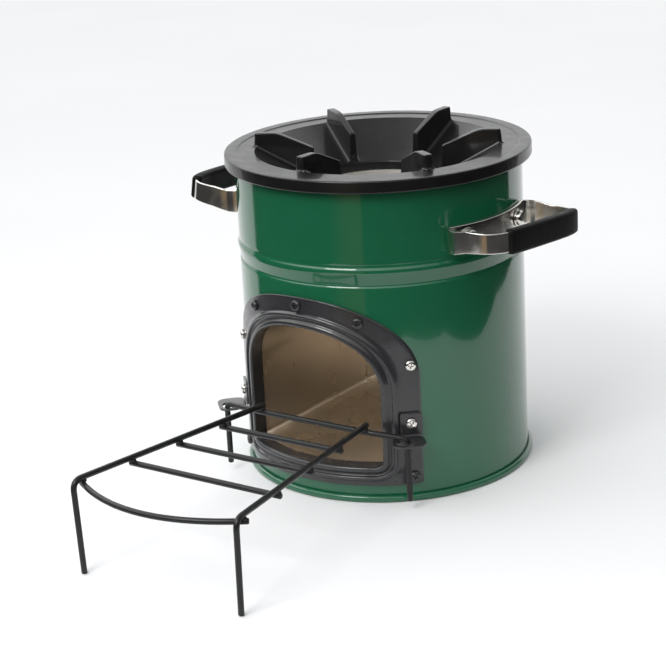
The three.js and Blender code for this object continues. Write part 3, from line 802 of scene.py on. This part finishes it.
def cast_top():
    rows = []
    lip = [(HOLE_R, HOLE_Z - 4), (HOLE_R, HOLE_Z - 1.2), (HOLE_R + 0.15, HOLE_Z - 0.6),
           (HOLE_R + 0.45, HOLE_Z - 0.1)]
    for r, z in lip:
        rows.append(casting_row(r, z, False))
    inner = SUPPORT_INNER_R
    radii = [inner + step for step in (-0.5, -0.2, -0.02, 0.02, 0.12, 0.4, 0.9, 2)]
    radii += list(np.arange(inner + 4, SUPPORT_FLAT_R - 3, 2.5))
    radii += list(np.arange(SUPPORT_FLAT_R - 3, SUPPORT_FLAT_R + 3, 0.75))
    radii += list(np.arange(SUPPORT_FLAT_R + 3.5, SUPPORT_OUTER_R - 2.5, 2))
    outer = SUPPORT_OUTER_R
    radii += [outer + step for step in (-2.2, -1.7, -1.2, -0.9, -0.6, -0.35, -0.15, -0.03, 0.5, 0.8,
                                        1.2, 1.7, 2.3, 3, 3.6, 6, 9, 12)]
    for r in radii:
        rows.append(casting_row(r, dish_height(r), True))
    profile = rounded([(116, PLATE_Z), (RIM_INNER_R, PLATE_Z), (RIM_INNER_R + 0.8, RIM_Z),
                       (CASTING_R - 0.2, RIM_Z), (CASTING_R, CASTING_BOTTOM),
                       (CASTING_R - 4.3, CASTING_BOTTOM), (CASTING_R - 4.3, DRUM_TOP + GAP),
                       (DISH_R + 5, DRUM_TOP + GAP),
                       (HOLE_R + 4, HOLE_Z - 6), (HOLE_R, HOLE_Z - 7.5)], 1.6, 6, closed=False)
    for r, z in dense(profile, 4, closed=False):
        rows.append(casting_row(r, z, False))
    piece = grid_piece("casting", rows, CASTING)
    sharpen(piece, 50)
    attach(piece, "top")
    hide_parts("cast_top")


# ---- door frame ----
def on_drum(outline, height):
    return [(x, -math.sqrt((DRUM_R + height) ** 2 - x * x), z) for x, z in outline]


def door_frame():
    start = FRAME_BEADS[-1][0]
    beads = rounded(FRAME_BEADS, 1.3, 5, closed=False)
    beads = dense(beads, 1.2, closed=False)
    rows = [on_drum(arch_outline(DOOR, grow), height) for grow, height in beads]
    inner, edge = arch_outline(DOOR, start), arch_outline(FRAME)

    def between(share, height, inset=0.0):
        loop = []
        for (ax, az), (bx, bz) in zip(inner, edge):
            length = math.hypot(bx - ax, bz - az)
            s = share - inset / max(length, 1)
            loop.append((ax + (bx - ax) * s, az + (bz - az) * s))
        return on_drum(loop, height)

    for share in (0.2, 0.4, 0.6, 0.8):
        rows.append(between(share, FRAME_FACE))
    for inset, drop in ((0.9, 0), (0.45, 0.06), (0.15, 0.25), (0, 0.6)):
        rows.append(between(1, FRAME_FACE - drop, inset))
    for share in (1, 0.75, 0.5, 0.25, 0):
        rows.append(between(share, FRAME_BACK))
    for grow, height in ((8.6, FRAME_BACK), (5, FRAME_BACK), (2.4, FRAME_BACK), (COLLAR_WALL, -0.4),
                         (COLLAR_WALL, -8.6)):
        rows.append(on_drum(arch_outline(DOOR, grow), height))
    piece = sharpen(grid_piece("door_surround", rows, BLACK), 50)
    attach(piece, "stove")
    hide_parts("door_frame")


# ---- screws and bolts ----
def cross_cutter(size, depth, at):
    """A tapered cross that sinks into a head whose top is at a height."""
    arms = []
    for turn in (0, 90):
        points = []
        for z, share in ((at - depth, 0.35), (at + 1, 1.1)):
            long, wide = size * share, size * 0.22 * (0.6 + 0.4 * share)
            points += [(-long, -wide, z), (long, -wide, z), (long, wide, z), (-long, wide, z)]
        faces = [(3, 2, 1, 0), (4, 5, 6, 7), (0, 1, 5, 4), (1, 2, 6, 5), (2, 3, 7, 6), (3, 0, 4, 7)]
        arm = mesh_piece(f"cross_{turn}", points, faces, BLACK, False)
        arm.data.transform(Matrix.Rotation(math.radians(turn + 20), 4, "Z"))
        arms.append(arm)
    return arms


def screw_head(name, head, rise, seat, shank, length, material, recess):
    """A pan head with a cross recess, its underside at the seat height."""
    dome = []
    for i in range(9):
        turn = math.radians(90 * i / 8)
        dome.append((head * (0.55 + 0.45 * math.cos(turn) ** 0.8),
                     seat + rise * (0.3 + 0.7 * math.sin(turn))))
    profile = [(0.02, seat - length), (shank, seat - length), (shank, seat), (head - 0.2, seat),
               (head, seat + 0.2)] + dome + [(head * 0.3, seat + rise), (0.02, seat + rise)]
    piece = lathe(name, profile, material, 48)
    for arm in cross_cutter(head * recess, rise * 0.62, seat + rise):
        cut(piece, arm)
    return sharpen(piece, 40)


def screws():
    seat = DRUM_R + FRAME_FACE + GAP
    spots = {}
    for name, spot in FRAME_SCREWS.items():
        spots[name] = (*spot, seat, PLATED if "upper" in name else BLACK)
    for word, side in (("left", -1), ("right", 1)):
        spots[f"bracket_screw_{word}"] = (side * BRACKET_ANGLE, BRACKET_SCREW_Z,
                                          BRACKET_FACE + BRACKET_SHEET + GAP, PLATED)
    for k, (name, (degrees, height, base_at, material)) in enumerate(spots.items()):
        piece = screw_head(name.replace("screw", "pan_screw"), SCREW_HEAD, SCREW_RISE, 0,
                           SCREW_SHANK, SCREW_LENGTH, material, 0.66)
        piece.data.transform(Matrix.Rotation(math.radians(37 * k), 4, "Z"))
        piece.data.transform(Matrix.Translation((0, 0, base_at * MM)))
        place(piece, outward(degrees, height))
        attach(piece, "stove")
        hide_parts(name)


def handle_bolts():
    for word, handle in HANDLES.items():
        turn = handle["turn"]
        for k, (end, side) in enumerate((("front", -1), ("back", 1))):
            degrees = turn + (side if turn > 0 else -side) * BOLT_ANGLE
            ring = [(3.4, 0), (BOLT_HEAD, 0), (BOLT_HEAD, 1.1), (3.4, 1.1)]
            washer = lathe("washer", rounded(ring, 0.4, 3), PLATED, 64)
            bolt = screw_head("bolt", BOLT_HEAD - 1.0, BOLT_RISE - 1.2, 1.15, BOLT_SHANK,
                              BOLT_SEAT - BOLT_TIP, PLATED, 0.5)
            bolt.data.transform(Matrix.Rotation(math.radians(25 + 50 * k), 4, "Z"))
            piece = join(f"handle_bolt_and_washer_{word}_{end}", [bolt, washer])
            sharpen(piece, 40)
            piece.data.transform(Matrix.Translation((0, 0, BOLT_SEAT * MM)))
            place(piece, outward(degrees, handle["z"]))
            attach(piece, "stove")
            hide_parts(f"handle_bolt_{word}_{end}")


# ---- brackets ----
def slot_outline(across, out, half_length, radius, steps=10):
    straight = half_length - radius
    points = []
    for start, centre in ((-90, across + straight), (90, across - straight)):
        for i in range(steps + 1):
            turn = math.radians(start + 180 * i / steps)
            points.append((centre + radius * math.cos(turn), -out + radius * math.sin(turn)))
    return points


def plate_piece(name, outline, holes, thickness, material, edge=0.35):
    """A flat plate with rounded edges, lying on z = 0, from a filled curve."""
    curve = bpy.data.curves.new(name, "CURVE")
    curve.dimensions = "2D"
    curve.fill_mode = "BOTH"
    curve.extrude = (thickness / 2 - edge) * MM
    curve.bevel_depth = edge * MM
    curve.bevel_resolution = 2
    curve.offset = -edge * MM
    for loop in [outline] + holes:
        spline = curve.splines.new("POLY")
        spline.points.add(len(loop) - 1)
        spline.use_cyclic_u = True
        for point, (x, y) in zip(spline.points, loop):
            point.co = (x * MM, y * MM, 0, 1)
    made = bpy.data.objects.new(name, curve)
    bpy.context.scene.collection.objects.link(made)
    bpy.context.view_layer.update()
    mesh = bpy.data.meshes.new_from_object(made.evaluated_get(bpy.context.evaluated_depsgraph_get()))
    bpy.data.objects.remove(made)
    clean(mesh)
    mesh.transform(Matrix.Translation((0, 0, thickness / 2 * MM)))
    mesh.materials.clear()
    mesh.materials.append(material)
    piece = bpy.data.objects.new(name, mesh)
    bpy.context.scene.collection.objects.link(piece)
    return piece


def bracket(side):
    """A folded bracket, made for the right side and mirrored for the left."""
    face = -BRACKET_FACE
    fold = 2.4
    word = "left" if side < 0 else "right"
    tab_outline = [(BRACKET_HALF, face - fold), (-BRACKET_HALF, face - fold), (TAB_INNER_SIDE, face - 9),
                   (TAB_INNER_SIDE, -TAB_REACH), (BRACKET_HALF, -TAB_REACH)]
    tab = plate_piece("tab", rounded(tab_outline, 9, 10), [slot_outline(**SLOT)], BRACKET_SHEET, BLACK)
    tab.data.transform(Matrix.Translation((0, 0, (TAB_TOP - BRACKET_SHEET) * MM)))
    low = TAB_TOP - BRACKET_SHEET + fold
    flange_outline = [(-BRACKET_HALF, low), (BRACKET_HALF, low), (BRACKET_HALF, BRACKET_TOP),
                      (-BRACKET_HALF, BRACKET_TOP)]
    flange = plate_piece("flange", rounded(flange_outline, 2.5, 6), [], BRACKET_SHEET, BLACK)
    flange.data.transform(Matrix.Rotation(math.radians(90), 4, "X"))
    flange.data.transform(Matrix.Translation((0, face * MM, 0)))
    rows = []
    for i in range(9):
        turn = math.radians(90 * i / 8)
        row = []
        for radius in (fold, fold - BRACKET_SHEET):
            y = face - fold + radius * math.cos(turn)
            z = TAB_TOP - BRACKET_SHEET + fold - radius * math.sin(turn)
            end = BRACKET_HALF - 0.2 if radius == fold else 0.2 - BRACKET_HALF
            row += [(-end, y, z), (end, y, z)]
        rows.append(row)
    bend = grid_piece("bend", rows, BLACK, wrap_rows=False, caps=True)
    piece = join(f"rack_hanger_{word}", [tab, flange, bend])
    sharpen(piece, 40)
    turn = Matrix.Rotation(math.radians(BRACKET_ANGLE), 4, "Z")
    piece.data.transform(turn)
    if side < 0:
        piece.data.transform(Matrix.Scale(-1, 4, (1, 0, 0)))
        piece.data.flip_normals()
    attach(piece, "stove")
    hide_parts(f"rack_bracket_{word}")


# ---- rack ----
RACK_MATRIX = Matrix.Translation((RACK_PLACE[0] * MM, RACK_PLACE[1] * MM, 0)) @ Matrix.Rotation(
    math.radians(RACK_YAW), 4, "Z")


def rail_point(y, side):
    along = (y - RAIL_FRONT["y"]) / (RAIL_REAR["y"] - RAIL_FRONT["y"])
    half = RAIL_FRONT["half"] + (RAIL_REAR["half"] - RAIL_FRONT["half"]) * along
    return (RAIL_OFFSET + side * half, y, RAIL_FRONT["z"] + (RAIL_REAR["z"] - RAIL_FRONT["z"]) * along)


def bent(points, radius, steps=14):
    """Straight runs joined by bends, with points along the runs too."""
    return dense(rounded(points, radius, steps, closed=False), 12, closed=False)


def rack_wire(name, path, node):
    piece = wire_piece(name, path, WIRE_BLACK)
    place(piece, RACK_MATRIX)
    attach(piece, "rack")
    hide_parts(node)
    return piece


def weld(name, at, seed):
    """A small uneven bead of weld where two wires cross."""
    random = np.random.default_rng(seed)
    rows = []
    count = 14
    wobble = random.normal(0, 0.12, (9, count))
    for j in range(9):
        t = math.pi * (j + 0.5) / 9
        ring = []
        for i in range(count):
            turn = 2 * math.pi * i / count
            size = 1 + wobble[j][i]
            ring.append((at[0] + 3.3 * size * math.sin(t) * math.cos(turn),
                         at[1] + 2.3 * size * math.sin(t) * math.sin(turn),
                         at[2] + 2.7 * math.cos(t)))
        rows.append(ring)
    piece = grid_piece(name, rows, WIRE_BLACK, wrap_rows=False, caps=True)
    smooth = piece.modifiers.new("soft", "SUBSURF")
    smooth.levels = 1
    smooth.render_levels = 1
    apply_modifiers(piece)
    place(piece, RACK_MATRIX)
    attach(piece, "rack")
    return piece


def rack():
    seed = 1
    for side, word in ((-1, "left"), (1, "right")):
        front = rail_point(RAIL_FRONT["y"], side)
        foot = (front[0] - side * 2, RAIL_FRONT["y"] + 1, LEG_BOTTOM)
        path = bent([foot, front, rail_point(RAIL_REAR["y"], side)], LEG_BEND)
        rack_wire(f"side_wire_{word}", path, f"rack_side_wire_{word}")
    half = RAIL_REAR["half"] + 3
    hook = [(-PIN_X, 0, PIN_BOTTOM), (-PIN_X, 0, ARM_Z), (RAIL_OFFSET - half, HOOK_ROD_Y, HOOK_ROD_Z),
            (RAIL_OFFSET + half, HOOK_ROD_Y, HOOK_ROD_Z), (PIN_X, 0, ARM_Z), (PIN_X, 0, PIN_BOTTOM)]
    rack_wire("hook_rod", bent(hook, 6), "rack_hook_rod")
    for name, from_front in RACK_BARS.items():
        y = RAIL_FRONT["y"] + from_front
        ends = []
        for side, word in ((-1, "left"), (1, "right")):
            x, _, z = rail_point(y, side)
            ends.append((x + side * BAR_OVERHANG, y, z - BAR_DROP))
            weld(f"{name}_weld_{word}", (x, y, z - BAR_DROP / 2), seed)
            seed += 1
        rack_wire(name.replace("rack_", "cross_"), dense(ends, 12, closed=False), name)
    y = RAIL_FRONT["y"] + FRONT_BAR["setback"]
    left, right = rail_point(y, -1), rail_point(y, 1)
    a = np.array((left[0] - FRONT_BAR["overhang"], y, left[2] - BAR_DROP))
    b = np.array((right[0] + FRONT_BAR["overhang"], y, right[2] - BAR_DROP))
    middle = np.array((RAIL_OFFSET, y - 2 * FRONT_BAR["bulge"], a[2]))
    path = [(1 - t) ** 2 * a + 2 * t * (1 - t) * middle + t * t * b for t in np.linspace(0, 1, 60)]
    rack_wire("curved_front_bar", path, "rack_front_bar")
    for word, at in (("left", left), ("right", right)):
        weld(f"rack_front_bar_weld_{word}", (at[0], y - 2, at[2] - BAR_DROP / 2), seed)
        seed += 1
    for side, word in ((-1, "left"), (1, "right")):
        at = rail_point(HOOK_ROD_Y, side)
        weld(f"hook_rod_weld_{word}", (at[0], HOOK_ROD_Y, (at[2] + HOOK_ROD_Z) / 2), seed)
        seed += 1


# ---- carrying handles ----
def strap_loop():
    """The closed loop of the strap as (out, across) points."""
    half = []
    for i in range(25):
        turn = math.radians(STRAP_PLATE_ANGLE * i / 24)
        half.append((STRAP_PLATE_R * math.cos(turn), STRAP_PLATE_R * math.sin(turn)))
    half += STRAP_ARM
    power = 2 / STRAP_BOW["power"]
    for i in range(1, 61):
        turn = math.radians(90 * i / 60)
        across = STRAP_BOW["half"] * abs(math.cos(turn)) ** power if i < 60 else 0.0
        out = STRAP_BOW["from"] + (STRAP_BOW["tip"] - STRAP_BOW["from"]) * math.sin(turn) ** power
        half.append((out, across))
    other = [(out, -across) for out, across in half[1:-1]][::-1]
    return half + other


def smooth_loop(count=420, passes=3):
    """The loop resampled and softened, starting at the middle of the plate."""
    loop = even(strap_loop(), count, closed=True)
    for _ in range(passes):
        loop = loop * 0.5 + (np.roll(loop, 1, axis=0) + np.roll(loop, -1, axis=0)) * 0.25
    return loop


def strap_height(out):
    low, fold, tip = (STRAP_HALF_HEIGHT[k] for k in ("plate", "fold", "tip"))
    t = min(max((out - 110) / 12, 0), 1)
    folded = low + (fold - low) * t * t * (3 - 2 * t)
    return max(min(folded, fold + (tip - fold) * (out - 122) / 28), tip)


def bend_handle(point, handle):
    """Bends the part beyond the drum, then turns the handle to its place."""
    out, across, height = point
    beyond = max(out - BEND_FROM, 0)
    share = min(beyond / BEND_OVER, 1)
    z = height + handle["rise"] * beyond + handle["lean"] * across * share
    y = -(out - handle["rise"] * height * share)
    x = across + handle["skew"] * beyond
    turn = math.radians(handle["turn"])
    return (x * math.cos(turn) - y * math.sin(turn), x * math.sin(turn) + y * math.cos(turn),
            handle["z"] + z)


def loop_normals(loop):
    along = np.roll(loop, -1, axis=0) - np.roll(loop, 1, axis=0)
    along /= np.linalg.norm(along, axis=1)[:, None]
    normal = np.stack([along[:, 1], -along[:, 0]], 1)
    middle = int(np.argmax(loop[:, 0]))
    return normal if normal[middle][0] > 0 else -normal


def box_section(half_thick, half_high, radius, steps=5):
    """A rounded rectangle as (thickness, height) points."""
    corners = [(-half_thick, -half_high), (half_thick, -half_high), (half_thick, half_high),
               (-half_thick, half_high)]
    return rounded(corners, radius, steps)


def strap(word, handle):
    loop = smooth_loop()
    normals = loop_normals(loop)
    rows = []
    for (out, across), normal in zip(loop, normals):
        section = box_section(STRAP / 2, strap_height(out), 0.9)
        rows.append([bend_handle((out + normal[0] * t, across + normal[1] * t, h), handle)
                     for t, h in section])
    piece = grid_piece(f"strap_{word}", rows, STRAP_STEEL)
    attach(piece, "stove")
    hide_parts(f"handle_strap_{word}")


def grip(word, handle):
    loop = smooth_loop()
    normals = loop_normals(loop)
    lengths = np.linalg.norm(loop - np.roll(loop, 1, axis=0), axis=1)
    tip = int(np.argmax(loop[:, 0] - np.abs(loop[:, 1]) * 0.001))
    step = float(np.mean(lengths))
    direction = 1 if loop[(tip + 5) % len(loop)][1] > loop[tip][1] else -1
    start, end = handle["grip"]
    spots = np.unique(np.r_[np.linspace(start, start + 3.2, 9), np.linspace(start, end, 90),
                            np.linspace(end - 3.2, end, 9)])
    soft = 3.0
    rows = []
    for s in spots:
        spot = tip + direction * s / step
        i, share = int(math.floor(spot)), spot - math.floor(spot)
        here = loop[i % len(loop)] * (1 - share) + loop[(i + 1) % len(loop)] * share
        normal = normals[i % len(loop)] * (1 - share) + normals[(i + 1) % len(loop)] * share
        normal /= np.linalg.norm(normal)
        near = min(s - start, end - s)
        shrink = soft * (1 - math.sqrt(max(1 - (1 - min(near / soft, 1)) ** 2, 0))) * 0.8
        middle = (s - start) / (end - start)
        swell = 0.35 * math.sin(math.pi * middle)
        section = box_section(GRIP_THICK / 2 - shrink + swell, GRIP_HIGH / 2 - shrink, 3.4, 7)
        rows.append([bend_handle((here[0] + normal[0] * t, here[1] + normal[1] * t, h), handle)
                     for t, h in section])
    piece = sharpen(grid_piece(f"grip_{word}", rows, GRIP, wrap_rows=False, caps=True), 60)
    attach(piece, "stove")
    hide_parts(f"handle_grip_{word}")


# ---- studio ----
def paper_floor():
    """A pale sheet of paper."""
    n = Finish("studio_paper")
    tone = n.noise(3, 2)
    n.wire(n.ramp(tone, [(0.3, (0.845, 0.845, 0.85)), (0.7, (0.865, 0.865, 0.87))]), "Base Color")
    n.set(Roughness=0.9, Specular_IOR_Level=0.0)
    turn = math.radians(CAMERA_TURN)
    right = np.array((math.cos(turn), math.sin(turn)))
    near = np.array((math.sin(turn), -math.cos(turn)))
    corners = [(*(right * a + near * b), 0) for a, b in PAPER]
    floor = mesh_piece("studio_paper", corners, [tuple(range(len(corners)))], n.material, False)


def key_light():
    """The one soft box, above the camera and to its left."""
    data = bpy.data.lights.new("key_light", "AREA")
    data.size = KEY_LIGHT["size"] * MM
    data.energy = KEY_LIGHT["power"]
    lamp = bpy.data.objects.new("key_light", data)
    bpy.context.scene.collection.objects.link(lamp)
    turn, rise = math.radians(CAMERA_TURN + KEY_LIGHT["turn"]), math.radians(KEY_LIGHT["rise"])
    aim = Vector((0, 0, 150))
    away = Vector((math.sin(turn) * math.cos(rise), -math.cos(turn) * math.cos(rise), math.sin(rise)))
    lamp.location = (aim + away * KEY_LIGHT["away"]) * MM
    lamp.rotation_euler = away.to_track_quat("Z", "Y").to_euler()


def world_nodes():
    """White for the camera. Otherwise a bright ceiling, a white backdrop and a dim room in front."""
    world = bpy.data.worlds.new("studio")
    bpy.context.scene.world = world
    world.use_nodes = True
    world.node_tree.nodes.clear()
    n = Nodes(world.node_tree)

    def between(value, low, high, new_low, new_high):
        return n.spread(value, low, high, new_low, new_high, "SMOOTHSTEP")

    where = n.node("TexCoord").outputs["Generated"]
    turn = math.radians(CAMERA_TURN)
    axes = ((math.sin(turn), -math.cos(turn), 0), (math.cos(turn), math.sin(turn), 0), (0, 0, 1))
    near, right, up = [n.node("VectorMath", {0: where, 1: axis}, operation="DOT_PRODUCT").outputs["Value"]
                       for axis in axes]
    sides = [n.math("MULTIPLY", right, slope) for slope in BACKDROP_EDGES]
    edge = n.math("MINIMUM", *sides)
    behind = between(n.math("SUBTRACT", edge, near), -0.04, 0.04, ROOM, BACKDROP)
    above = between(up, 0.27, 0.5, 0, 1)
    low = n.math("MULTIPLY", behind, n.math("SUBTRACT", 1, above))
    ring = between(up, 0.72, 0.92, CEILING, ZENITH)
    bias = n.math("SUBTRACT", 1, n.math("MULTIPLY", right, LEFT_BIAS))
    strength = n.math("ADD", low, n.math("MULTIPLY", above, n.math("MULTIPLY", ring, bias)))
    seen = n.node("LightPath").outputs["Is Camera Ray"]
    other = n.math("MULTIPLY", strength, n.math("SUBTRACT", 1, seen))
    total = n.math("ADD", other, n.math("MULTIPLY", seen, SEEN))
    tangent = n.math("DIVIDE", right, near)
    warm = n.math("MULTIPLY", between(tangent, -0.95, -0.4, 0, 1), between(tangent, -0.28, -0.25, 1, 0))
    warm = n.math("MULTIPLY", warm, between(near, 0.05, 0.1, 0, 1))
    warm = n.math("MULTIPLY", warm, between(up, 0.05, 0.25, 1, 0))
    colour = n.mix(warm, COOL_WHITE, WARM_CORNER)
    light = n.node("Background", {"Color": colour, "Strength": total}).outputs["Background"]
    n.node("OutputWorld", {"Surface": light})


def studio():
    paper_floor()
    world_nodes()
    key_light()


def camera():
    data = bpy.data.cameras.new("camera")
    data.lens = LENS
    data.sensor_width = 36
    data.clip_end = 100
    made = bpy.data.objects.new("camera", data)
    bpy.context.scene.collection.objects.link(made)
    yaw, pitch, roll = CAMERA_YAW, CAMERA_PITCH, CAMERA_ROLL
    ahead = Vector((math.sin(yaw) * math.cos(pitch), math.cos(yaw) * math.cos(pitch), -math.sin(pitch)))
    right = Vector((math.cos(yaw), -math.sin(yaw), 0))
    up = right.cross(ahead)
    side = right * math.cos(roll) + up * math.sin(roll)
    above = up * math.cos(roll) - right * math.sin(roll)
    basis = Matrix((side, above, -ahead)).transposed().to_4x4()
    spin = Matrix.Rotation(math.radians(CAMERA_TURN), 4, "Z")
    made.matrix_world = spin @ Matrix.Translation((0, -CAMERA_FAR * MM, CAMERA_HIGH * MM)) @ basis
    bpy.context.scene.camera = made


# ---- build ----
drum()
base()
firebox()
chimney()
cast_top()
door_frame()
screws()
for way in (-1, 1):
    bracket(way)
rack()
for side_word, how in HANDLES.items():
    strap(side_word, how)
    grip(side_word, how)
handle_bolts()

# Hidden nodes stay as they are, with a finish of their own.
KEPT = {"insulation_lower": FIBRE, "insulation_upper": FIBRE, "inner_cover": FIREBOX,
        "firebox_back": FIREBOX}
for side_word in HANDLES:
    for end_word in ("front", "back"):
        KEPT[f"handle_nut_{side_word}_{end_word}"] = PLATED
for node, finish in KEPT.items():
    for material_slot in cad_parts[node].material_slots:
        material_slot.material = finish

studio()
camera()
bpy.context.scene.view_settings.view_transform = "Standard"
